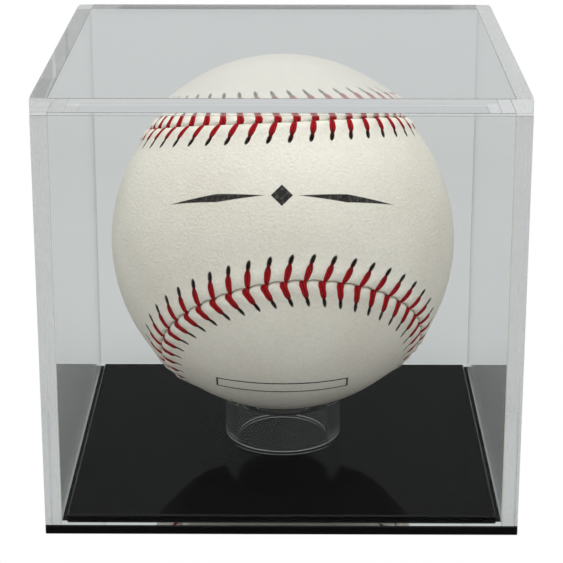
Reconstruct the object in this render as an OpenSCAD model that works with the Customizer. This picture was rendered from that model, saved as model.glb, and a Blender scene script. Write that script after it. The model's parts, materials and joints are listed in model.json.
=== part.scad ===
// Clear display cube for a baseball: a five-plate acrylic cover that lifts off a black base,
// a clear ring that the ball sits on, and the ball itself in its layers.
// Millimetres. +Z is up, the front faces -Y, and the origin is the centre of the underside.

/* [Cover] */
// Outside width and depth of the case
case_w = 95.25; // [92:0.25:110]
// Thickness of the clear plates
plate_t = 3.175; // [2:0.125:4]
// Air left between the top of the ball and the top plate
head_room = 1.7; // [0.5:0.1:10]

/* [Base] */
// Thickness of the black base plate
base_t = 2; // [1.5:0.25:6]
// Thickness of the black locating panel that the cover drops over
panel_t = 1; // [0.5:0.25:3]
// Gap all round between the locating panel and the cover's walls
panel_gap = 0.95; // [0.4:0.05:2]

/* [Ring stand] */
// Outside diameter of the clear ring
ring_d = 25.4; // [20:0.2:40]
// Wall thickness of the clear ring
ring_wall = 2.8; // [1.5:0.1:4]
// Height of the clear ring
ring_h = 9.5; // [5:0.5:15]

/* [Ball] */
// Diameter of the ball over its leather
ball_d = 73.7; // [70:0.1:75]
// Thickness of the leather
leather_t = 1.25; // [0.8:0.05:1.8]
// Diameter of the cork centre
cork_d = 34; // [20:1:45]
// Distance from the seam's middle line to the edge of each leather panel
seam_gap = 0.45; // [0.3:0.05:1]
// How far the ball is tipped about X, then Y, then Z
ball_tip = [49.6, -39.2, 31.7]; // [-180:0.1:180]

/* [Hidden] */
$fn = 96;

clear_colour = [0.86, 0.89, 0.88, 0.3];
black = [0.07, 0.07, 0.07];

// The ball stays this far off the ring and the thread stands this far out of the leather.
rest_gap = 0.3;
thread_proud = 0.12;
// The winding stays this far inside the leather and off the cork, and the thread this far
// off the edges of the leather.
layer_gap = 0.25;
cork_gap = 0.1;
thread_gap = 0.08;

// Heights, from the surface the case stands on
panel_z = base_t;
ring_z = base_t + panel_t;
ball_r = ball_d / 2;
ring_r = ring_d / 2;
ring_bore_r = ring_r - ring_wall;
ball_z = ring_z + ring_h + sqrt(pow(ball_r + rest_gap, 2) - pow(ring_bore_r, 2));
top_z = ball_z + ball_r + head_room;
wall_h = top_z - base_t;
inner_w = case_w - 2 * plate_t;

// The seam is one closed curve on a sphere. Its harmonics set how wide the two lobes of a
// panel are and how narrow the waist between them is.
seam_third = 0.44;
seam_fifth = -0.06;
seam_rise = 1.14;
seam_sixth = -0.1;
panel_rows = 96;
panel_columns = 12;
thread_rings = 200;

function unit(v) = v / norm(v);
function seam(t) = unit([
    cos(t) + seam_third * cos(3 * t) + seam_fifth * cos(5 * t),
    sin(t) - seam_third * sin(3 * t) + seam_fifth * sin(5 * t),
    seam_rise * sin(2 * t) + seam_sixth * sin(6 * t)]);
// Unit vector across the seam at t, lying on the sphere and pointing into the first panel
function across(t) = unit(cross(seam(t), seam(t + 0.5) - seam(t - 0.5)));
// The seam moved sideways over a sphere of radius r by a distance d
function beside(t, d, r) = seam(t) * cos(d / r * 180 / PI) + across(t) * sin(d / r * 180 / PI);

// A row of a panel runs over the sphere from the seam at t to the seam at its mirror point.
function panel_point(t, u, r) =
    let (a = beside(t, seam_gap, ball_r), b = beside(270 - t, seam_gap, ball_r),
         angle = acos(min(1, a * b)))
    r * (angle < 0.01 ? a : (a * sin((1 - u) * angle) + b * sin(u * angle)) / sin(angle));

// One leather panel: a shell between two radii, with a row of points for each step along it
module leather_panel() {
    per_side = panel_columns + 1;
    ends = 0.004;
    rows = [for (i = [0 : panel_rows])
        let (s = ends + (1 - 2 * ends) * i / panel_rows) 315 + 180 * s];
    points = [for (r = [ball_r, ball_r - leather_t], t = rows, j = [0 : panel_columns])
        panel_point(t, j / panel_columns, r)];
    inner = (panel_rows + 1) * per_side;
    function at(i, j) = i * per_side + j;
    faces = [
        for (i = [0 : panel_rows - 1], j = [0 : panel_columns - 1]) each [
            [at(i, j), at(i + 1, j), at(i + 1, j + 1)],
            [at(i, j), at(i + 1, j + 1), at(i, j + 1)],
            [inner + at(i, j), inner + at(i + 1, j + 1), inner + at(i + 1, j)],
            [inner + at(i, j), inner + at(i, j + 1), inner + at(i + 1, j + 1)]],
        for (i = [0 : panel_rows - 1], j = [0, panel_columns])
            let (p = at(i, j), q = at(i + 1, j), flip = j > 0) each [
                flip ? [p, q, inner + q] : [p, inner + q, q],
                flip ? [p, inner + q, inner + p] : [p, inner + p, inner + q]],
        for (j = [0 : panel_columns - 1], i = [0, panel_rows])
            let (p = at(i, j), q = at(i, j + 1), flip = i == 0) each [
                flip ? [p, q, inner + q] : [p, inner + q, q],
                flip ? [p, inner + q, inner + p] : [p, inner + p, inner + q]]];
    polyhedron(points, faces);
}

// A closed band that follows the whole seam between the edges of the two panels
module thread_band() {
    half = seam_gap - thread_gap;
    corners = [[-half, ball_r - leather_t], [half, ball_r - leather_t],
               [half, ball_r + thread_proud], [-half, ball_r + thread_proud]];
    count = len(corners);
    points = [for (i = [0 : thread_rings - 1], c = corners)
        c[1] * beside(i * 360 / thread_rings, c[0], ball_r)];
    faces = [for (i = [0 : thread_rings - 1], k = [0 : count - 1])
        let (next = (i + 1) % thread_rings, m = (k + 1) % count,
             a = i * count + k, b = i * count + m, c = next * count + m, d = next * count + k)
        each [[a, b, c], [a, c, d]]];
    polyhedron(points, faces);
}

// Puts something modelled about its own centre where the ball is
module at_ball() {
    translate([0, 0, ball_z]) rotate(ball_tip) children();
}

module plate(size, z) {
    translate([-size[0] / 2, -size[1] / 2, z]) cube(size);
}

module base_plate() {
    color(black) plate([case_w, case_w, base_t], 0);
}

module locating_panel() {
    panel_w = inner_w - 2 * panel_gap;
    color(black) plate([panel_w, panel_w, panel_t], panel_z);
}

module ring_stand() {
    color(clear_colour) translate([0, 0, ring_z]) difference() {
        cylinder(r = ring_r, h = ring_h);
        translate([0, 0, -1]) cylinder(r = ring_bore_r, h = ring_h + 2);
    }
}

module cover_top() {
    color(clear_colour) plate([case_w, case_w, plate_t], top_z);
}

// The front and back plates run the full width and cover the edges of the side plates.
module end_plate(side) {
    color(clear_colour) translate([0, side * (case_w - plate_t) / 2, 0])
        plate([case_w, plate_t, wall_h], base_t);
}

module side_plate(side) {
    color(clear_colour) translate([side * (case_w - plate_t) / 2, 0, 0])
        plate([plate_t, inner_w, wall_h], base_t);
}

module cover_front() {
    end_plate(-1);
}

module cover_back() {
    end_plate(1);
}

module cover_left() {
    side_plate(-1);
}

module cover_right() {
    side_plate(1);
}

module cork_centre() {
    color("peru") translate([0, 0, ball_z]) sphere(d = cork_d);
}

module nylon_winding() {
    color("lightgrey") translate([0, 0, ball_z]) difference() {
        sphere(r = ball_r - leather_t - layer_gap);
        sphere(r = cork_d / 2 + cork_gap);
    }
}

module leather_panel_a() {
    color("ivory") at_ball() leather_panel();
}

// The second panel is the first, turned a quarter and mirrored.
module leather_panel_b() {
    color("ivory") at_ball() mirror([0, 0, 1]) rotate([0, 0, 90]) leather_panel();
}

module seam_stitching() {
    color("crimson") at_ball() thread_band();
}

base_plate();
locating_panel();
ring_stand();
cover_top();
cover_front();
cover_back();
cover_left();
cover_right();
cork_centre();
nylon_winding();
leather_panel_a();
leather_panel_b();
seam_stitching();
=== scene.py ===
"""A clear display cube with a baseball in it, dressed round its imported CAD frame.

Metres, +Z up, the front faces -Y. The case's clear plates are five closed meshes whose glued faces
let light straight through, so that the cover looks welded and not stacked. The ball is two leather
panels, shaped round every stitch, and one thread. The pieces' sizes and places come from the
frame, and the seam's formula repeats the CAD model's.
"""

import json
import math

import bmesh
import bpy
import numpy as np
from mathutils import Euler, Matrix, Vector


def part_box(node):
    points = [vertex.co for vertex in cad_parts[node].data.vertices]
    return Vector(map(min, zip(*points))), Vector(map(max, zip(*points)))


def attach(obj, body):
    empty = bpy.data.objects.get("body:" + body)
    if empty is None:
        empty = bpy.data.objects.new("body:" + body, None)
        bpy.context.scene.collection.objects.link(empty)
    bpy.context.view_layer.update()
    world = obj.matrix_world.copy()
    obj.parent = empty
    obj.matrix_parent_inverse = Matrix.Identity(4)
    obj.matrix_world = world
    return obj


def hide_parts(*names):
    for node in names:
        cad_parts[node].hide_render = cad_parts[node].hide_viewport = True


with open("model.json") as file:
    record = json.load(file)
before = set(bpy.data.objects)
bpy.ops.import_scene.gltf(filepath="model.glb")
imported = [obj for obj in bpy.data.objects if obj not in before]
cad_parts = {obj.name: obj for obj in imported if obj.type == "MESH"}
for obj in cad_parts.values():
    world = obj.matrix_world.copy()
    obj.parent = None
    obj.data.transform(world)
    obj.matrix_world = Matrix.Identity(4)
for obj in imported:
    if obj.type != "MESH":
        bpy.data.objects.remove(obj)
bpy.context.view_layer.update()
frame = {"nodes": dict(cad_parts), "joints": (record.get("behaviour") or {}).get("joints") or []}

MM = 0.001

# ---------------------------------------------------------------- sizes read from the frame

JOINTS = {joint["name"]: joint for joint in frame["joints"]}
BALL_CENTRE = Vector(JOINTS["ball_turn"]["pos_m"])


def extent(node):
    """Size of a CAD node along X, Y and Z."""
    low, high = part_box(node)
    return high - low


PLATE = extent("cover_top").z
CASE_HALF = extent("cover_top").x / 2
CAVITY_HALF = CASE_HALF - PLATE
BALL_R = max(extent("leather_panel_b")) / 2
WINDING_R = extent("nylon_winding").z / 2

# ---------------------------------------------------------------- the ball's seam

# The seam's harmonics and the way the ball is tipped are the CAD model's own driving values.
SEAM_THIRD = 0.44
SEAM_FIFTH = -0.06
SEAM_RISE = 1.14
SEAM_SIXTH = -0.10
BALL_TIP = Euler([math.radians(angle) for angle in (49.6, -39.2, 31.7)], "XYZ").to_matrix()

STITCHES = 102
STEPS_PER_STITCH = 18
FINE_STEPS = 8000

# The two panels are sides 1 and -1 of the seam. LEAN is how far an arm runs along the seam for
# each metre away from it, START is where that line meets the seam, and WAIST is the share of its
# width that an arm loses in the crease. An arm with a negative WAIST is wider there.
LEAN = {1: 0.30, -1: 0.36}
START = {1: 0.0, -1: -0.85 * MM}
WAIST = {1: 0.42, -1: -0.16}

# The leather's relief: the ridge beside the seam, the puffs between the stitches, the crease,
# the grooves that the arms lie in, the holes with their rims, and how far the crease swings.
RIDGE, RIDGE_DISTANCE, RIDGE_WIDTH = 0.30 * MM, 2.2 * MM, 2.0 * MM
PUFF, PUFF_DISTANCE, PUFF_WIDTH = 0.42 * MM, 1.2 * MM, 1.6 * MM
CREASE, CREASE_WIDTH = 0.50 * MM, 0.24 * MM
GROOVE, GROOVE_DISTANCE, GROOVE_LENGTH, GROOVE_WIDTH = 0.26 * MM, 2.0 * MM, 1.9 * MM, 0.6 * MM
HOLE, HOLE_DISTANCE, HOLE_LENGTH, HOLE_WIDTH = 0.75 * MM, 4.3 * MM, 0.92 * MM, 0.36 * MM
RIM, RIM_SPREAD = 0.16 * MM, 2.1
SCALLOP, SCALLOP_MEAN, SCALLOP_WIDTH = 0.50 * MM, 0.6, 2.2 * MM
RELIEF_FADE = 1.2 * MM


def seam_points(t):
    """Unit vectors along the seam for an array of angles, in the ball's own tipped frame."""
    third, fifth, sixth = 3 * t, 5 * t, 6 * t
    x = np.cos(t) + SEAM_THIRD * np.cos(third) + SEAM_FIFTH * np.cos(fifth)
    y = np.sin(t) - SEAM_THIRD * np.sin(third) + SEAM_FIFTH * np.sin(fifth)
    z = SEAM_RISE * np.sin(2 * t) + SEAM_SIXTH * np.sin(sixth)
    points = unit(np.stack([x, y, z], axis=-1))
    return points @ np.array(BALL_TIP).T


def unit(vectors):
    return vectors / np.linalg.norm(vectors, axis=-1, keepdims=True)


class Seam:
    """The seam resampled at even distances, starting at the tip of the first panel's lobe."""

    def __init__(self):
        start = -math.pi / 4
        t = start + np.linspace(0, 2 * math.pi, FINE_STEPS + 1)
        points = seam_points(t)
        steps = np.linalg.norm(np.diff(points, axis=0), axis=1)
        self.t = t
        self.distance = np.concatenate([[0], np.cumsum(steps)]) * BALL_R
        self.length = self.distance[-1]
        self.pitch = self.length / STITCHES

    def at(self, along):
        """Point, tangent and the direction into the first panel, at distances along the seam."""
        t = np.interp(np.mod(along, self.length), self.distance, self.t)
        points = seam_points(t)
        tangents = unit(seam_points(t + 1e-4) - seam_points(t - 1e-4))
        return points, tangents, unit(np.cross(points, tangents))

    def beside(self, along, offset):
        """Unit vectors of the points that lie an offset to one side of the seam."""
        points, _, across = self.at(along)
        angle = (np.asarray(offset) / BALL_R)[..., None]
        return points * np.cos(angle) + across * np.sin(angle)


seam = Seam()


def bell(value, centre, width):
    return np.exp(-(((value - centre) / width) ** 2))


def along_from_arm(along, side, distance):
    """Distance along the seam from a point to the middle line of the nearest stitch arm."""
    line = START[side] + LEAN[side] * distance
    return np.mod(along - line + seam.pitch / 2, seam.pitch) - seam.pitch / 2


def leather_rise(along, distance, side):
    """How far the leather stands out of the plain sphere, from its place beside the seam."""
    off_arm = along_from_arm(along, side, distance)
    between = 0.5 - 0.5 * np.cos(2 * math.pi * off_arm / seam.pitch)
    puff = PUFF * between * bell(distance, PUFF_DISTANCE, PUFF_WIDTH)
    crease = -CREASE * bell(distance, 0, CREASE_WIDTH)
    groove = -groove_depth(distance) * bell(off_arm, 0, GROOVE_WIDTH)
    pit = -HOLE * hole_shape(off_arm, distance, 1.0)
    rim = RIM * hole_shape(off_arm, distance, RIM_SPREAD)
    fade = np.clip((BAND_WIDTH - distance) / RELIEF_FADE, 0, 1)
    return (ridge_height(distance) + puff + crease + groove + pit + rim) * fade


def ridge_height(distance):
    """Height of the ridge that the leather makes beside the seam."""
    return RIDGE * bell(distance, RIDGE_DISTANCE, RIDGE_WIDTH)


def groove_depth(distance):
    """How deep a stitch arm presses into the leather, along its middle line."""
    return GROOVE * bell(distance, GROOVE_DISTANCE, GROOVE_LENGTH)


def scallop(along, distance):
    """How far the crease is pulled sideways between two stitches, so that it runs in small arcs."""
    arc = np.abs(np.sin(math.pi * along / seam.pitch))
    return SCALLOP * (arc - SCALLOP_MEAN) * bell(distance, 0, SCALLOP_WIDTH)


def hole_shape(off_arm, distance, spread):
    """1 in the middle of a stitch hole, which is a slot along its arm, and 0 away from it."""
    wide = off_arm / (HOLE_WIDTH * spread)
    long = (distance - HOLE_DISTANCE) / (HOLE_LENGTH * spread)
    return np.exp(-((wide**2 + long**2) ** 1.5))


# ---------------------------------------------------------------- mesh and node helpers


def new_object(name, mesh, body, nodes, materials):
    """Links a mesh as a piece that rides on a body and stands for CAD nodes."""
    piece = bpy.data.objects.new(name, mesh)
    bpy.context.scene.collection.objects.link(piece)
    for material in materials:
        mesh.materials.append(material)
    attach(piece, body)
    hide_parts(*nodes)
    return piece


def mesh_from(name, vertices, faces):
    """A smooth-shaded mesh of the given corners and faces."""
    mesh = bpy.data.meshes.new(name)
    mesh.from_pydata([tuple(v) for v in vertices], [], faces)
    for polygon in mesh.polygons:
        polygon.use_smooth = True
    mesh.update()
    return mesh


def add_attribute(mesh, name, values):
    """A number for every vertex, which a material reads."""
    layer = mesh.attributes.new(name, "FLOAT", "POINT")
    layer.data.foreach_set("value", np.asarray(values, np.float32))


class Tree:
    """A material's node tree, with short calls that make and join its nodes."""

    def __init__(self, name):
        self.material = bpy.data.materials.new(name)
        self.material.use_nodes = True
        self.nodes = self.material.node_tree.nodes
        self.links = self.material.node_tree.links
        self.nodes.clear()
        self.output = self.nodes.new("ShaderNodeOutputMaterial")

    def node(self, kind, inputs=None, **settings):
        node = self.nodes.new("ShaderNode" + kind)
        for key, value in settings.items():
            setattr(node, key, value)
        for key, value in (inputs or {}).items():
            self.put(node.inputs[key], value)
        return node

    def put(self, socket, value):
        if isinstance(value, bpy.types.NodeSocket):
            self.links.new(value, socket)
        else:
            socket.default_value = value

    def place(self):
        return self.node("TexCoord").outputs["Object"]

    def noise(self, scale, detail=3.0, roughness=0.5):
        inputs = {"Vector": self.place(), "Scale": scale, "Detail": detail, "Roughness": roughness}
        return self.node("TexNoise", inputs).outputs["Fac"]

    def spread(self, value, low, high, to_low=0.0, to_high=1.0):
        inputs = {
            "Value": value, "From Min": low, "From Max": high, "To Min": to_low, "To Max": to_high}
        return self.node("MapRange", inputs).outputs["Result"]

    def calc(self, operation, first, second=0.0):
        node = self.node("Math", {0: first, 1: second}, operation=operation)
        return node.outputs[0]

    def blend(self, factor, first, second, mode="MIX"):
        node = self.node("Mix", data_type="RGBA", blend_type=mode)
        self.put(node.inputs["Factor"], factor)
        self.put(node.inputs["A"], first)
        self.put(node.inputs["B"], second)
        return node.outputs["Result"]

    def mix_shaders(self, factor, first, second):
        return self.node("MixShader", {0: factor, 1: first, 2: second}).outputs[0]

    def attribute(self, name):
        return self.node("Attribute", attribute_name=name).outputs["Fac"]

    def bump(self, height, distance, strength=1.0, normal=None):
        inputs = {"Height": height, "Distance": distance, "Strength": strength}
        if normal is not None:
            inputs["Normal"] = normal
        return self.node("Bump", inputs).outputs["Normal"]

    def finish(self, shader):
        self.links.new(shader, self.output.inputs["Surface"])
        return self.material


def grey(level):
    """An opaque grey as red, green, blue and alpha."""
    return (level, level, level, 1.0)


# ---------------------------------------------------------------- materials

ACRYLIC_TINT = (0.955, 0.972, 0.968, 1.0)
ACRYLIC_SHADOW = (0.93, 0.94, 0.94, 1.0)
ACRYLIC_IOR = 1.49
ACRYLIC_SPECULAR = (0.08, 0.08, 0.08, 1.0)


def acrylic(name, low, high, haze=0.0, milk_colour=(0.8, 0.8, 0.8, 1.0)):
    """Clear sheet that lamps shine through, with a gloss that wiping marks vary.

    low and high are the least and most roughness. haze is the share of light that the sheet
    scatters, in milk_colour.
    """
    tree = Tree(name)
    marks = tree.spread(tree.noise(38.0, 4.0, 0.6), 0.35, 0.8, low, high)
    sheet = tree.node("BsdfPrincipled", {
        "Base Color": ACRYLIC_TINT, "Transmission Weight": 1.0, "IOR": ACRYLIC_IOR,
        "Specular Tint": ACRYLIC_SPECULAR, "Roughness": marks})
    body = sheet.outputs[0]
    if haze:
        milk = tree.node("BsdfDiffuse", {"Color": milk_colour})
        grain = tree.spread(tree.noise(90.0, 3.0, 0.6), 0.3, 0.7, 0.8 * haze, 1.2 * haze)
        body = tree.mix_shaders(grain, body, milk.outputs[0])
    through = tree.node("BsdfTransparent", {"Color": ACRYLIC_SHADOW})
    path = tree.node("LightPath")
    lit = tree.calc("MAXIMUM", path.outputs["Is Shadow Ray"], path.outputs["Is Diffuse Ray"])
    return tree.finish(tree.mix_shaders(lit, body, through.outputs[0]))


def weld(name, haze, milk_colour):
    """A glued face inside the cover: clear, with the milky specks that solvent leaves.

    haze is about the share of the light that the specks scatter.
    """
    tree = Tree(name)
    specks = tree.spread(tree.noise(1900.0, 3.0, 0.65), 0.32, 0.68, 0.65 * haze, 1.35 * haze)
    milk = tree.node("BsdfDiffuse", {"Color": milk_colour})
    through = tree.node("BsdfTransparent", {"Color": grey(1.0)})
    return tree.finish(tree.mix_shaders(specks, through.outputs[0], milk.outputs[0]))


BLACK_GLOSS = 0.16
CHAMFER_GLOSS = 0.8


def black_acrylic(name, share, low, high):
    """Opaque black sheet with a quiet gloss, a little lint and faint rubbing.

    share is how much of it is glossy: little on the sheet, more on a polished chamfer. low
    and high are the least and most roughness of that gloss.
    """
    tree = Tree(name)
    rubbed = tree.spread(tree.noise(45.0, 5.0, 0.65), 0.3, 0.8, low, high)
    lint = tree.spread(tree.noise(1500.0, 1.0, 0.4), 0.78, 0.84)
    colour = tree.blend(lint, (0.0016, 0.0013, 0.0016, 1.0), grey(0.03))
    matt = tree.node("BsdfPrincipled", {
        "Base Color": colour, "Roughness": 0.35, "Specular IOR Level": 0.0})
    gloss = tree.node("BsdfPrincipled", {
        "Base Color": colour, "Roughness": rubbed, "IOR": ACRYLIC_IOR})
    return tree.finish(tree.mix_shaders(share, matt.outputs[0], gloss.outputs[0]))


# The printed marks, in millimetres on the plane that touches the ball in the mark's middle. The
# elevations say how far above or below the ball's front each of those planes is.
INK = (0.012, 0.010, 0.010, 1.0)
INK_BLUR = 0.07
RULE_ELEVATION = math.radians(30.5)
RULE_CENTRE, RULE_HALF_LENGTH, RULE_HALF_THICKNESS = 13.0, 9.6, 0.85
DIAMOND_HALF = 2.2
BOX_ELEVATION = math.radians(-40)
BOX_HALF_LENGTH, BOX_HALF_HEIGHT, BOX_LINE, BOX_SAG = 13.5, 1.7, 0.20, 0.011


def ink_plane(tree, elevation):
    """Millimetres across and up from a printed mark's middle, and 1 on its side of the ball."""
    out = Vector((0, -math.cos(elevation), math.sin(elevation)))
    across = Vector((1, 0, 0))
    up = out.cross(across)
    place = tree.node("VectorMath", {0: tree.place(), 1: BALL_CENTRE}, operation="SUBTRACT")
    values = []
    for axis in (across, up, out):
        inputs = {0: place.outputs["Vector"], 1: axis / MM}
        values.append(tree.node("VectorMath", inputs, operation="DOT_PRODUCT").outputs["Value"])
    return values[0], values[1], tree.calc("GREATER_THAN", values[2], 0.0)


def soft_below(tree, value, limit):
    """1 where a length is under its limit and 0 where it is over, with a slightly soft edge."""
    return tree.spread(value, limit - INK_BLUR, limit + INK_BLUR, 1.0, 0.0)


def printed_rule(tree):
    """A plain printed mark: a small diamond between two rules that swell and taper."""
    across, up, here = ink_plane(tree, RULE_ELEVATION)
    side = tree.calc("ABSOLUTE", across)
    height = tree.calc("ABSOLUTE", up)
    diamond = soft_below(tree, tree.calc("ADD", side, height), DIAMOND_HALF)
    from_middle = tree.calc("ABSOLUTE", tree.calc("SUBTRACT", side, RULE_CENTRE))
    thickness = tree.spread(from_middle, 0.0, RULE_HALF_LENGTH, RULE_HALF_THICKNESS, 0.0)
    rule = soft_below(tree, tree.calc("SUBTRACT", height, thickness), 0.0)
    rule = tree.calc("MULTIPLY", rule, soft_below(tree, from_middle, RULE_HALF_LENGTH))
    return tree.calc("MULTIPLY", tree.calc("MAXIMUM", diamond, rule), here)


def printed_box(tree):
    """A plain printed box, low on the front, that bends a little with the seam over it."""
    across, up, here = ink_plane(tree, BOX_ELEVATION)
    sag = tree.calc("MULTIPLY", tree.calc("MULTIPLY", across, across), BOX_SAG)
    side = tree.calc("ABSOLUTE", across)
    height = tree.calc("ABSOLUTE", tree.calc("ADD", up, sag))
    past_end = tree.calc("SUBTRACT", side, BOX_HALF_LENGTH)
    past_edge = tree.calc("SUBTRACT", height, BOX_HALF_HEIGHT)
    from_line = tree.calc("ABSOLUTE", tree.calc("MAXIMUM", past_end, past_edge))
    return tree.calc("MULTIPLY", soft_below(tree, from_line, BOX_LINE), here)


def leather():
    """Off-white cowhide with blotches, pores and printed marks, and painted shade: near-black
    stitch holes and a darker crease.
    """
    tree = Tree("ball_leather")
    blotches = tree.spread(tree.noise(45.0, 4.0, 0.55), 0.3, 0.72)
    colour = tree.blend(blotches, (0.768, 0.707, 0.611, 1.0), (0.850, 0.795, 0.701, 1.0))
    fine = tree.spread(tree.noise(1500.0, 2.0, 0.6), 0.3, 0.7, 0.94, 1.03)
    colour = tree.blend(1.0, colour, fine, "MULTIPLY")
    ink = tree.calc("MAXIMUM", printed_rule(tree), printed_box(tree))
    worn = tree.spread(tree.noise(1200.0, 2.0, 0.6), 0.3, 0.5, 0.90, 0.99)
    colour = tree.blend(tree.calc("MULTIPLY", ink, worn), colour, INK)
    # Painted shade: the crease is darkened along the seam.
    colour = tree.blend(tree.attribute("crease"), colour, (0.20, 0.16, 0.12, 1.0))
    # Painted shade: the stitch holes are darkened almost to black.
    hole = tree.spread(tree.attribute("hole"), 0.30, 0.72)
    colour = tree.blend(hole, colour, (0.014, 0.009, 0.006, 1.0))
    pores = tree.node("TexVoronoi", {
        "Vector": tree.place(), "Scale": 2100.0, "Randomness": 1.0}, feature="SMOOTH_F1")
    grain = tree.bump(pores.outputs["Distance"], 0.13 * MM, 0.7)
    grain = tree.bump(tree.noise(1700.0, 2.0, 0.5), 0.15 * MM, 0.6, grain)
    gloss = tree.spread(tree.noise(300.0, 3.0, 0.6), 0.3, 0.7, 0.46, 0.60)
    hide = tree.node("BsdfPrincipled", {
        "Base Color": colour, "Roughness": gloss, "Specular IOR Level": 0.35, "Normal": grain})
    return tree.finish(hide.outputs[0])


def thread():
    """Waxed red cotton: two strands along each arm, with painted shade between them, along the
    arm's edges and near the hole.
    """
    tree = Tree("red_thread")
    strands = tree.calc("SINE", tree.calc("MULTIPLY", tree.attribute("ply"), math.pi))
    plies = tree.spread(tree.calc("ABSOLUTE", strands), 0.0, 0.75)
    fibre = tree.noise(2600.0, 2.0, 0.6)
    # Painted shade: the colour is darker where the two strands meet and along the arm's edges.
    colour = tree.blend(plies, (0.075, 0.001, 0.003, 1.0), (0.41, 0.002, 0.006, 1.0))
    colour = tree.blend(tree.spread(fibre, 0.3, 0.7, 0.0, 0.35), colour, (0.14, 0.002, 0.006, 1.0))
    # Painted shade: the arm darkens towards its hole.
    colour = tree.blend(tree.attribute("dark"), colour, (0.022, 0.004, 0.004, 1.0))
    twist = tree.bump(plies, 0.07 * MM, 0.6)
    twist = tree.bump(fibre, 0.04 * MM, 0.5, twist)
    cotton = tree.node("BsdfPrincipled", {
        "Base Color": colour, "Roughness": 0.6, "Specular IOR Level": 0.10, "Normal": twist})
    return tree.finish(cotton.outputs[0])


def nylon_yarn():
    """Pale yarn in uneven diagonal turns."""
    tree = Tree("nylon_yarn")
    waves = {"Vector": tree.place(), "Scale": 260.0, "Distortion": 6.0, "Detail": 2.0}
    bands = tree.node("TexWave", waves, bands_direction="DIAGONAL")
    colour = tree.blend(bands.outputs["Fac"], (0.52, 0.50, 0.46, 1.0), (0.80, 0.79, 0.75, 1.0))
    wound = tree.bump(bands.outputs["Fac"], 0.3 * MM, 0.8)
    yarn = tree.node("BsdfPrincipled", {"Base Color": colour, "Roughness": 0.7, "Normal": wound})
    return tree.finish(yarn.outputs[0])


def cork():
    """Pressed cork, in cells of light and dark brown."""
    tree = Tree("pressed_cork")
    cells = tree.node("TexVoronoi", {"Vector": tree.place(), "Scale": 420.0})
    colour = tree.blend(cells.outputs["Distance"], (0.30, 0.17, 0.08, 1.0), (0.60, 0.42, 0.24, 1.0))
    pitted = tree.bump(cells.outputs["Distance"], 0.3 * MM, 0.7)
    grain = tree.node("BsdfPrincipled", {"Base Color": colour, "Roughness": 0.85, "Normal": pitted})
    return tree.finish(grain.outputs[0])


def studio_paper():
    """Pale paper, lighter far away so that no horizon shows through the clear plates.

    Seen straight on it is burnt out to white, as a cut-out background is.
    """
    tree = Tree("studio_paper")
    colour = tree.blend(tree.noise(30.0), grey(0.455), grey(0.475))
    away = tree.node("VectorMath", {0: tree.place()}, operation="LENGTH").outputs["Value"]
    # Painted light: the paper grows lighter away from the case, as a lit sweep would.
    colour = tree.blend(tree.spread(away, 0.25, 1.5), colour, grey(0.92))
    paper = tree.node("BsdfPrincipled", {
        "Base Color": colour, "Roughness": 0.9, "Specular IOR Level": 0.1})
    burnt = tree.node("Emission", {"Color": grey(1.0), "Strength": 1.0})
    seen = tree.node("LightPath").outputs["Is Camera Ray"]
    return tree.finish(tree.mix_shaders(seen, paper.outputs[0], burnt.outputs[0]))


# ---------------------------------------------------------------- the case

EDGE = 0.35 * MM
EDGE_SEGMENTS = 3
BASE_EDGE = 0.25 * MM
RING_EDGE = 0.3 * MM
RING_SIDES = 160


def slab(name, cuts, kind_of, is_edge, bevel=EDGE):
    """A closed box whose sides are cut at the given places along each axis.

    kind_of(centre, normal) gives the material of a pane, and is_edge(a, b) says which edges are
    polished round.
    """
    mesh = bpy.data.meshes.new(name)
    shape = bmesh.new()
    corners = {}

    def corner(place):
        key = tuple(round(value, 7) for value in place)
        if key not in corners:
            corners[key] = shape.verts.new(place)
        return corners[key]

    for axis in range(3):
        first, second = (axis + 1) % 3, (axis + 2) % 3
        for end, sign in ((cuts[axis][0], -1), (cuts[axis][-1], 1)):
            for a0, a1 in zip(cuts[first], cuts[first][1:]):
                for b0, b1 in zip(cuts[second], cuts[second][1:]):
                    ring = [(a0, b0), (a1, b0), (a1, b1), (a0, b1)][::sign]
                    places = []
                    for a, b in ring:
                        place = [0.0, 0.0, 0.0]
                        place[axis], place[first], place[second] = end, a, b
                        places.append(place)
                    face = shape.faces.new([corner(place) for place in places])
                    normal = Vector([sign if i == axis else 0 for i in range(3)])
                    face.material_index = kind_of(face.calc_center_median(), normal)
    polished = [edge for edge in shape.edges if is_edge(edge.verts[0].co, edge.verts[1].co)]
    bmesh.ops.bevel(shape, geom=polished, offset=bevel, segments=EDGE_SEGMENTS, profile=0.5,
                    affect="EDGES", clamp_overlap=True)
    bmesh.ops.recalc_face_normals(shape, faces=shape.faces)
    for face in shape.faces:
        face.smooth = max(abs(value) for value in face.normal) < 0.999
    shape.to_mesh(mesh)
    shape.free()
    return mesh


def near(value, target):
    return abs(value - target) < 1e-5


def cuts_of(node, extra=(None, None, None)):
    """Where a plate's sides are cut: its own ends, and any places between them."""
    low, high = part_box(node)
    return [sorted({low[i], high[i], *(extra[i] or ())}) for i in range(3)]


def corner_edge(a, b):
    """True for an upright edge at an outer corner of the case."""
    upright = near(a.x, b.x) and near(a.y, b.y)
    return upright and near(abs(a.x), CASE_HALF) and near(abs(a.y), CASE_HALF)


# Places of the cover's materials on its plates, in the order that cover_materials makes them.
POLISHED, JOINT, GLUED, CLEAR_GLUED, GLUE_LINE, FAINT_LINE, GLUE_CORNER = range(7)

# The glue line inside the joints and its wider front stretch, the height of the line outside
# them, and the gap under the walls, so that light turns back in a wall's lower edge.
LINE_WIDTH = 0.16 * MM
FRONT_LINE_WIDTH = 0.85 * MM
JOINT_HEIGHT = 0.17 * MM
CONTACT_GAP = 0.06 * MM

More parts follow.
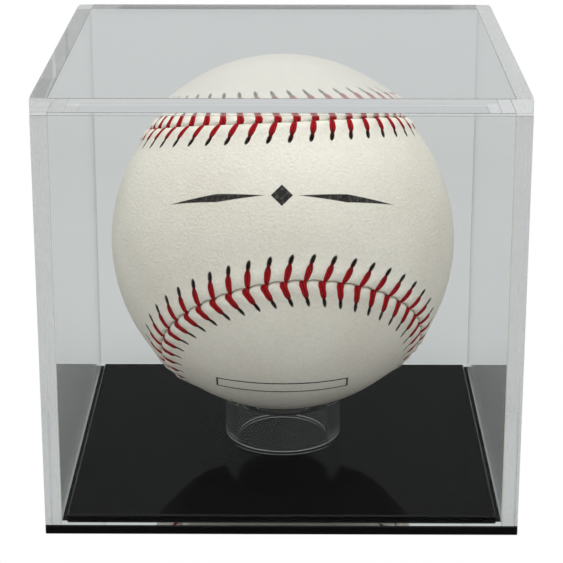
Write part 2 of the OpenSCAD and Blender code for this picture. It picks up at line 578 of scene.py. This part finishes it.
LINE = CAVITY_HALF + LINE_WIDTH
FRONT_LINE = CAVITY_HALF + FRONT_LINE_WIDTH
LID_LOW, LID_HIGH = (end.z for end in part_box("cover_top"))
JOINT_LOW = LID_LOW - JOINT_HEIGHT


def cover_materials():
    """The cover's finishes, from clear sheet to milky glue, in the order of their names above."""
    return [
        acrylic("polished_acrylic", 0.0, 0.03),
        acrylic("joint_acrylic", 0.10, 0.30, 0.30, (0.10, 0.105, 0.095, 1.0)),
        weld("glued_face", 0.85, grey(0.60)),
        weld("clear_glued_face", 0.16, grey(0.71)),
        weld("glue_line", 0.90, (0.07, 0.07, 0.06, 1.0)),
        weld("faint_line", 0.50, grey(0.22)),
        weld("glue_corner", 0.6, (0.62, 0.60, 0.48, 1.0)),
    ]


def top_kind(centre, normal):
    """Material of a pane of the lid: lines and glued faces underneath, polished elsewhere."""
    outside = max(abs(centre.x), abs(centre.y)) > CAVITY_HALF
    if abs(normal.z) < 0.5 or normal.z > 0 or not outside:
        return POLISHED
    if abs(centre.x) < LINE and -FRONT_LINE < centre.y < LINE:
        at_front = centre.y < -CAVITY_HALF and abs(centre.x) < CAVITY_HALF
        return GLUE_LINE if at_front else FAINT_LINE
    return CLEAR_GLUED if abs(centre.x) < CAVITY_HALF else GLUED


def top_edges(a, b):
    """True for an edge of the lid that is polished round: its upper rim and its corners."""
    upper = near(a.z, LID_HIGH) and near(b.z, LID_HIGH)
    at_side = near(abs(a.x), CASE_HALF) and near(a.x, b.x)
    at_end = near(abs(a.y), CASE_HALF) and near(a.y, b.y)
    return (upper and (at_side or at_end)) or corner_edge(a, b)


def at_joint(centre):
    return JOINT_LOW < centre.z < LID_LOW


def end_kind(centre, normal):
    """Material of a pane of the front or back plate."""
    if normal.z > 0.5:
        return CLEAR_GLUED
    if normal.y * centre.y > 0 and at_joint(centre):
        return JOINT
    if abs(normal.x) > 0.5:
        return POLISHED
    inwards = normal.y * centre.y < 0
    if not inwards or abs(centre.x) < CAVITY_HALF:
        return POLISHED
    return GLUE_CORNER if abs(centre.x) < LINE else CLEAR_GLUED


def side_kind(centre, normal):
    """Material of a pane of the left or right plate, which stands between the other two."""
    if normal.x * centre.x > 0 and at_joint(centre):
        return JOINT
    return CLEAR_GLUED if normal.z > 0.5 or abs(normal.y) > 0.5 else POLISHED


def build_cover(materials):
    """Five clear plates that read as one welded box, cut where a glue line changes their finish."""
    inner = (-LINE, -CAVITY_HALF, CAVITY_HALF, LINE)
    depths = (-FRONT_LINE, -CAVITY_HALF, CAVITY_HALF, LINE)
    joint = (JOINT_LOW,)
    plates = {
        "cover_top": ((inner, depths, None), top_kind, top_edges),
        "cover_front": ((inner, None, joint), end_kind, corner_edge),
        "cover_back": ((inner, None, joint), end_kind, corner_edge),
        "cover_left": ((None, None, joint), side_kind, corner_edge),
        "cover_right": ((None, None, joint), side_kind, corner_edge),
    }
    for node, (extra, kind_of, is_edge) in plates.items():
        cuts = cuts_of(node, extra)
        if node != "cover_top":
            cuts[2][0] += CONTACT_GAP
        mesh = slab(node + "_plate", cuts, kind_of, is_edge)
        new_object(node + "_plate", mesh, "cover", [node], materials)


def build_base(black, chamfer):
    """The two black sheets, with a glossier finish on their bevelled edges."""
    for node in ("base_plate", "locating_panel"):
        mesh = slab(node + "_sheet", cuts_of(node), lambda *_: 0, lambda *_: True, BASE_EDGE)
        for polygon in mesh.polygons:
            polygon.material_index = 1 if polygon.use_smooth else 0
        new_object(node + "_sheet", mesh, "base", [node], [black, chamfer])


def lathe(name, profile, sides):
    """A ring turned from a closed outline of (radius, height) points."""
    count = len(profile)
    vertices = []
    for i in range(sides):
        angle = 2 * math.pi * i / sides
        vertices += [(r * math.cos(angle), r * math.sin(angle), z) for r, z in profile]
    faces = []
    for i in range(sides):
        here, there = i * count, ((i + 1) % sides) * count
        for j in range(count):
            k = (j + 1) % count
            faces.append((here + j, there + j, there + k, here + k))
    return mesh_from(name, vertices, faces)


def rounded(corner, first, second, radius, steps=4):
    """Points of a quarter turn at a square corner, from the first direction to the second."""
    points = []
    for i in range(steps + 1):
        angle = math.pi / 2 * i / steps
        along = 1 - math.sin(angle)
        over = 1 - math.cos(angle)
        points.append((corner[0] + radius * (first[0] * along + second[0] * over),
                       corner[1] + radius * (first[1] * along + second[1] * over)))
    return points


def build_ring(material):
    """The clear tube that the ball sits on, with its four rims rounded."""
    low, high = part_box("ring_stand")
    outer = (high.x - low.x) / 2
    bore = ring_bore()
    profile = []
    profile += rounded((outer, low.z), (-1, 0), (0, 1), RING_EDGE)
    profile += rounded((outer, high.z), (0, -1), (-1, 0), RING_EDGE)
    profile += rounded((bore, high.z), (1, 0), (0, -1), RING_EDGE)
    profile += rounded((bore, low.z), (0, 1), (1, 0), RING_EDGE)
    mesh = lathe("ring_tube", profile, RING_SIDES)
    piece = new_object("ring_tube", mesh, "base", ["ring_stand"], [material])
    flats = piece.modifiers.new("flats", "WEIGHTED_NORMAL")
    flats.keep_sharp = True


def ring_bore():
    """Radius of the ring's bore, from the CAD vertices that lie nearest its axis."""
    node = frame["nodes"]["ring_stand"]
    return min(math.hypot(v.co.x, v.co.y) for v in node.data.vertices)


# ---------------------------------------------------------------- the ball

# A panel's fine band runs from SEAM_EDGE to BAND_WIDTH away from the seam, and its columns stand
# closer together near the seam: BAND_EVEN is the evenly spaced share. UNDERSIDE_GAP keeps the
# panel clear of the winding.
SEAM_EDGE = 0.05 * MM
BAND_WIDTH = 6.6 * MM
BAND_COLUMNS = 30
BAND_EVEN = 0.45
ROW_COLUMNS = 18
INNER_COLUMNS = 6
UNDERSIDE_GAP = 0.1 * MM
# How dark and how wide the painted shade is in the stitch holes and along the crease.
HOLE_SHADE, HOLE_SHADE_SPREAD = 1.5, 1.2
CREASE_SHADE, CREASE_SHADE_WIDTH = 0.22, 0.16 * MM


def arc_between(first, second, columns):
    """Points at even shares of the great circles from the first ends to the second."""
    angle = np.arccos(np.clip((first * second).sum(-1), -1, 1))[:, None]
    share = np.linspace(0, 1, columns + 1)[None]
    straight = angle < 1e-5
    safe = np.where(straight, 1.0, angle)
    start = np.where(straight, 1 - share, np.sin((1 - share) * safe) / np.sin(safe))
    end = np.where(straight, share, np.sin(share * safe) / np.sin(safe))
    return start[..., None] * first[:, None] + end[..., None] * second[:, None]


def close_ring(ring, tip, columns, radius, start):
    """Rows that close a ring of points on a sphere, from one side of its tip to the other.

    ring holds unit vectors that are already vertices, and row k joins the two of them that are k
    steps either side of the tip. Returns the new vertices, which are numbered from start, and the
    rows of vertex numbers, in which the ring's own points count from 0.
    """
    count = len(ring)
    steps = np.arange(count // 2 + 1)
    ahead, behind = (tip + steps) % count, (tip - steps) % count
    inside = arc_between(ring[ahead], ring[behind], columns)[1:-1, 1:-1]
    numbers = np.empty((count // 2 + 1, columns + 1), int)
    numbers[:, 0], numbers[:, -1] = ahead, behind
    numbers[0], numbers[-1] = ahead[0], ahead[-1]
    new = np.arange(inside.shape[0] * inside.shape[1]).reshape(inside.shape[:2])
    numbers[1:-1, 1:-1] = start + new
    return unit(inside.reshape(-1, 3)) * radius, numbers


def grid_faces(numbers, turned):
    """Faces between neighbouring rows of vertex numbers. A face with repeated corners shrinks."""
    faces = []
    for here, there in zip(numbers, numbers[1:]):
        for a, b, c, d in zip(here, there, there[1:], here[1:]):
            corners = list(dict.fromkeys((int(a), int(b), int(c), int(d))))
            if len(corners) > 2:
                faces.append(corners[::-1] if turned else corners)
    return faces


def build_panel(name, node, side, material):
    """One leather panel: a fine band beside the whole seam, a plain middle and an underside."""
    count = STITCHES * STEPS_PER_STITCH
    tip = 0 if side > 0 else count // 4
    along = np.arange(count) * seam.length / count
    share = np.linspace(0, 1, BAND_COLUMNS + 1)
    share = BAND_EVEN * share + (1 - BAND_EVEN) * share**2
    away = SEAM_EDGE + (BAND_WIDTH - SEAM_EDGE) * share

    rings = []
    rises = []
    for distance in away:
        rings.append(seam.beside(along, side * distance + scallop(along, distance)))
        rises.append(leather_rise(along, distance, side))
    band = np.concatenate(rings) * (BALL_R + np.concatenate(rises))[:, None]
    numbers = np.arange(count * len(away)).reshape(len(away), count)
    numbers = np.concatenate([numbers, numbers[:, :1]], axis=1)
    faces = grid_faces(numbers, side < 0)

    last = count * BAND_COLUMNS
    middle, rows = close_ring(rings[-1], tip, ROW_COLUMNS, BALL_R, count * len(away))
    rows[:, 0] += last
    rows[:, -1] += last
    rows[0], rows[-1] = rows[0, 0], rows[-1, 0]
    faces += grid_faces(rows, side > 0)

    base = count * len(away) + len(middle)
    inner = WINDING_R + UNDERSIDE_GAP
    edge = rings[0] * inner
    under, under_rows = close_ring(rings[0], tip, INNER_COLUMNS, inner, base + count)
    under_rows[:, 0] += base
    under_rows[:, -1] += base
    under_rows[0], under_rows[-1] = under_rows[0, 0], under_rows[-1, 0]
    faces += grid_faces(under_rows, side < 0)
    around = np.append(np.arange(count), 0)
    faces += grid_faces(np.stack([around, around + base]), side > 0)

    vertices = np.concatenate([band, middle, edge, under]) + np.array(BALL_CENTRE)
    mesh = mesh_from(name, vertices, faces)
    paint_leather_shade(mesh, along, away, side)
    turn_outwards(mesh)
    return new_object(name, mesh, "ball", [node], [material])


def paint_leather_shade(mesh, along, away, side):
    """Marks the stitch holes and the crease, where the leather's material paints shade. The band
    comes first.
    """
    distance = np.repeat(away, len(along))
    off_arm = along_from_arm(np.tile(along, len(away)), side, distance)
    holes = np.clip(HOLE_SHADE * hole_shape(off_arm, distance, HOLE_SHADE_SPREAD), 0, 1)
    creases = CREASE_SHADE * bell(distance, 0, CREASE_SHADE_WIDTH)
    rest = np.zeros(len(mesh.vertices) - len(distance))
    add_attribute(mesh, "hole", np.concatenate([holes, rest]))
    add_attribute(mesh, "crease", np.concatenate([creases, rest]))


def turn_outwards(mesh):
    """Makes every face of a closed mesh look outwards."""
    shape = bmesh.new()
    shape.from_mesh(mesh)
    bmesh.ops.recalc_face_normals(shape, faces=shape.faces)
    shape.to_mesh(mesh)
    shape.free()


# A stitch arm starts in its hole and ends in the crease, and is narrower at the hole. ARM_LIFT is
# how far its middle stands over the leather, and the SINK values are how far it drops into the
# hole and the crease. Each SHARE is the part of the arm's length that its effect reaches over.
ARM_START = 4.2 * MM
ARM_END = 0.10 * MM
ARM_HALF_WIDTH = 0.84 * MM
ARM_HALF_THICKNESS = 0.24 * MM
ARM_RINGS = 14
ARM_SIDES = 14
ARM_LIFT = 0.17 * MM
HOLE_SINK, HOLE_SINK_SHARE = 0.80 * MM, 0.16
CREASE_SINK, CREASE_SINK_SHARE = 0.34 * MM, 0.07
HOLE_TAPER, HOLE_TAPER_SHARE = 0.60, 0.36
WAIST_SHARE = 0.30
# The part of the arm's length, counted from the hole, that painted shade darkens.
HOLE_SHADE_SHARE = 0.30
STRAND_DIP, STRAND_DIP_WIDTH = 0.30, 0.35


def arm_ring(centre, outwards, sideways, width):
    """Points round a stitch arm, a flat oval with a dip along its middle, and each one's ply."""
    points, plies = [], []
    for j in range(ARM_SIDES):
        angle = 2 * math.pi * j / ARM_SIDES
        ply = math.cos(angle)
        dip = 1 - STRAND_DIP * math.exp(-((ply / STRAND_DIP_WIDTH) ** 2))
        rise = ARM_HALF_THICKNESS * math.sin(angle) * dip
        points.append(centre + sideways * (width * ply) + outwards * rise)
        plies.append(ply)
    return points, plies


def arm_faces(start):
    """Faces of a closed arm whose rings are numbered from start."""
    faces = []
    for i in range(ARM_RINGS - 1):
        a, b = start + i * ARM_SIDES, start + (i + 1) * ARM_SIDES
        for j in range(ARM_SIDES):
            k = (j + 1) % ARM_SIDES
            faces.append((a + j, a + k, b + k, b + j))
    last = start + (ARM_RINGS - 1) * ARM_SIDES
    faces.append(tuple(start + j for j in reversed(range(ARM_SIDES))))
    faces.append(tuple(last + j for j in range(ARM_SIDES)))
    return faces


def arm_frame(stitch, side, distance, radius):
    """An arm's middle line, and its directions out of the leather and sideways."""
    along = stitch * seam.pitch + START[side] + LEAN[side] * distance
    path = seam.beside(along, side * distance) * radius[:, None]
    ahead = unit(np.gradient(path, axis=0))
    sideways = unit(np.cross(ahead, unit(path)))
    return path, np.cross(sideways, ahead), sideways


def build_thread(material):
    """Every stitch arm, from its hole over the leather and down into the seam."""
    vertices, faces, plies, hole_shades = [], [], [], []
    progress = np.linspace(0, 1, ARM_RINGS)
    distance = ARM_START + progress * (ARM_END - ARM_START)
    sink = HOLE_SINK * bell(progress, 0, HOLE_SINK_SHARE)
    sink += CREASE_SINK * bell(progress, 1, CREASE_SINK_SHARE)
    radius = BALL_R + ridge_height(distance) - groove_depth(distance) + ARM_LIFT - sink
    taper = 1 - HOLE_TAPER * bell(progress, 0, HOLE_TAPER_SHARE)
    # Painted shade on each arm where it sinks into its hole.
    dark = bell(progress, 0, HOLE_SHADE_SHARE)
    for side in (1, -1):
        width = ARM_HALF_WIDTH * (taper - WAIST[side] * bell(progress, 1, WAIST_SHARE))
        for stitch in range(STITCHES):
            path, outwards, sideways = arm_frame(stitch, side, distance, radius)
            faces += arm_faces(len(vertices))
            for i in range(ARM_RINGS):
                ring, ring_plies = arm_ring(path[i], outwards[i], sideways[i], width[i])
                vertices += ring
                plies += ring_plies
                hole_shades += [float(dark[i])] * ARM_SIDES
    mesh = mesh_from("seam_thread", np.array(vertices) + np.array(BALL_CENTRE), faces)
    add_attribute(mesh, "ply", plies)
    add_attribute(mesh, "dark", hole_shades)
    turn_outwards(mesh)
    return new_object("seam_thread", mesh, "ball", ["seam_stitching"], [material])


def dress_inner_nodes():
    """The pieces inside the ball stay as CAD nodes and get their own materials."""
    for node, material in (("nylon_winding", nylon_yarn()), ("cork_centre", cork())):
        mesh_object = frame["nodes"][node]
        mesh_object.data.materials.clear()
        mesh_object.data.materials.append(material)


# ---------------------------------------------------------------- stage, camera and lights

CAMERA_AZIMUTH = math.radians(0.4)
CAMERA_ELEVATION = math.radians(18.3)
CAMERA_DISTANCE = 0.450
CAMERA_TARGET = Vector((-0.3 * MM, 0, 38.1 * MM))
CAMERA_LENS = 132.0
FLOOR_HALF = 4.0
WORLD_LEVEL = 0.60
WORLD_COLOUR = (0.975, 0.995, 1.0, 1.0)
LONG_PATH = 28

# Each lamp's place, its width and height, and its power in watts. All of them face the ball.
LAMPS = {
    "top_softbox": ((0.0, 0.05, 0.9), (0.9, 0.9), 7.2),
    "front_softbox": ((-0.30, -1.0, 0.35), (0.7, 0.7), 2.2),
    "right_softbox": ((0.8, -0.35, 0.5), (0.5, 0.6), 0.9),
}


def build_camera():
    data = bpy.data.cameras.new("camera")
    data.lens = CAMERA_LENS
    data.clip_start = 0.01
    data.clip_end = 50.0
    camera = bpy.data.objects.new("camera", data)
    bpy.context.scene.collection.objects.link(camera)
    flat = math.cos(CAMERA_ELEVATION)
    sideways = math.sin(CAMERA_AZIMUTH) * flat
    forwards = -math.cos(CAMERA_AZIMUTH) * flat
    back = Vector((sideways, forwards, math.sin(CAMERA_ELEVATION)))
    camera.location = CAMERA_TARGET + back * CAMERA_DISTANCE
    camera.rotation_euler = (-back).to_track_quat("-Z", "Y").to_euler()
    bpy.context.scene.camera = camera


def build_floor():
    half = FLOOR_HALF
    corners = [(-half, -half, 0), (half, -half, 0), (half, half, 0), (-half, half, 0)]
    mesh = mesh_from("floor", corners, [(0, 1, 2, 3)])
    mesh.materials.append(studio_paper())
    floor = bpy.data.objects.new("floor", mesh)
    bpy.context.scene.collection.objects.link(floor)


def build_lamp(name, place, size, power):
    """A rectangular softbox that lights the ball, but doesn't show in gloss or through glass."""
    data = bpy.data.lights.new(name, "AREA")
    data.shape = "RECTANGLE"
    data.size, data.size_y = size
    data.energy = power
    lamp = bpy.data.objects.new(name, data)
    bpy.context.scene.collection.objects.link(lamp)
    lamp.location = place
    lamp.rotation_euler = (BALL_CENTRE - Vector(place)).to_track_quat("-Z", "Y").to_euler()
    lamp.visible_glossy = False
    lamp.visible_transmission = False


def build_world():
    """Even soft light. Seen straight on, the world is white, as the cut-out background is."""
    world = bpy.data.worlds.new("studio")
    bpy.context.scene.world = world
    world.use_nodes = True
    nodes, links = world.node_tree.nodes, world.node_tree.links
    lit = nodes["Background"]
    lit.inputs["Color"].default_value = WORLD_COLOUR
    lit.inputs["Strength"].default_value = WORLD_LEVEL
    white = nodes.new("ShaderNodeBackground")
    white.inputs["Color"].default_value = grey(1.0)
    path = nodes.new("ShaderNodeLightPath")
    mixed = nodes.new("ShaderNodeMixShader")
    links.new(path.outputs["Is Camera Ray"], mixed.inputs[0])
    links.new(lit.outputs[0], mixed.inputs[1])
    links.new(white.outputs[0], mixed.inputs[2])
    links.new(mixed.outputs[0], nodes["World Output"].inputs["Surface"])


def allow_long_paths():
    """Light runs along inside the clear plates, so it needs more bounces than usual."""
    cycles = bpy.context.scene.cycles
    cycles.max_bounces = LONG_PATH
    cycles.glossy_bounces = LONG_PATH
    cycles.transmission_bounces = LONG_PATH
    cycles.transparent_max_bounces = LONG_PATH


def build_studio():
    build_floor()
    build_world()
    for name, (place, size, power) in LAMPS.items():
        build_lamp(name, place, size, power)


# ---------------------------------------------------------------- the whole

bpy.context.scene.view_settings.view_transform = "Standard"
allow_long_paths()

build_camera()
build_studio()

build_cover(cover_materials())
build_base(
    black_acrylic("black_acrylic", BLACK_GLOSS, 0.03, 0.10),
    black_acrylic("black_chamfer", CHAMFER_GLOSS, 0.03, 0.12))
build_ring(acrylic("ring_acrylic", 0.0, 0.02, 0.023))

hide = leather()
build_panel("leather_first", "leather_panel_a", 1, hide)
build_panel("leather_second", "leather_panel_b", -1, hide)
build_thread(thread())
dress_inner_nodes()
